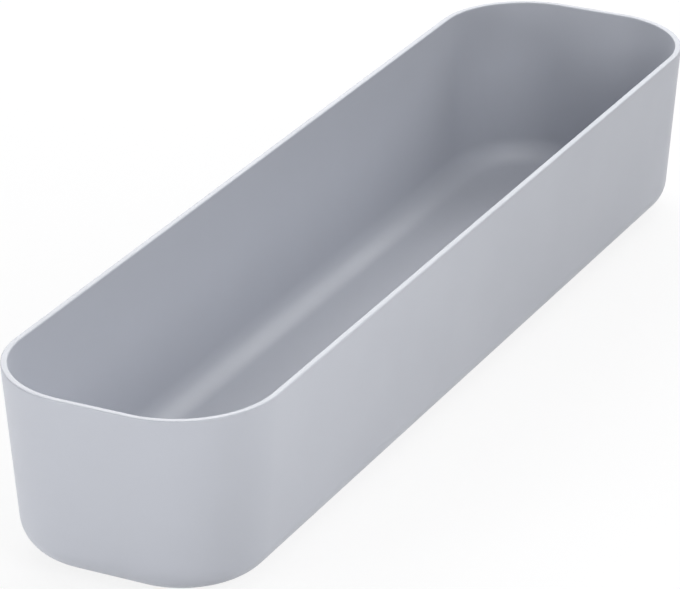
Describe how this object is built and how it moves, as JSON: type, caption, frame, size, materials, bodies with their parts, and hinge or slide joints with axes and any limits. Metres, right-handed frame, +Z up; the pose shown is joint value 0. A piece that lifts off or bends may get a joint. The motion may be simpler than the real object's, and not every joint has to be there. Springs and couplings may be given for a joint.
{
  "type": "drawer storage bin",
  "caption": "Long shallow open-topped bin with leaning walls, round corners and non-slip feet, for keeping craft supplies and small parts together in a drawer.",
  "frame": {"origin": "centre of the plane that the feet stand on", "axes": "+X along the length, +Y across the width towards the back, +Z up out of the open top"},
  "size_m": [0.406, 0.0996, 0.069],
  "materials": {
    "moulded_plastic": "cool light grey polypropylene, injection moulded with a fine even matte texture",
    "soft_foot": "mid grey soft elastomer, matte"
  },
  "bodies": {
    "root": {"bin_shell": "moulded_plastic", "foot_front_left": "soft_foot", "foot_front_right": "soft_foot", "foot_back_right": "soft_foot", "foot_back_left": "soft_foot"}
  },
  "joints": []
}
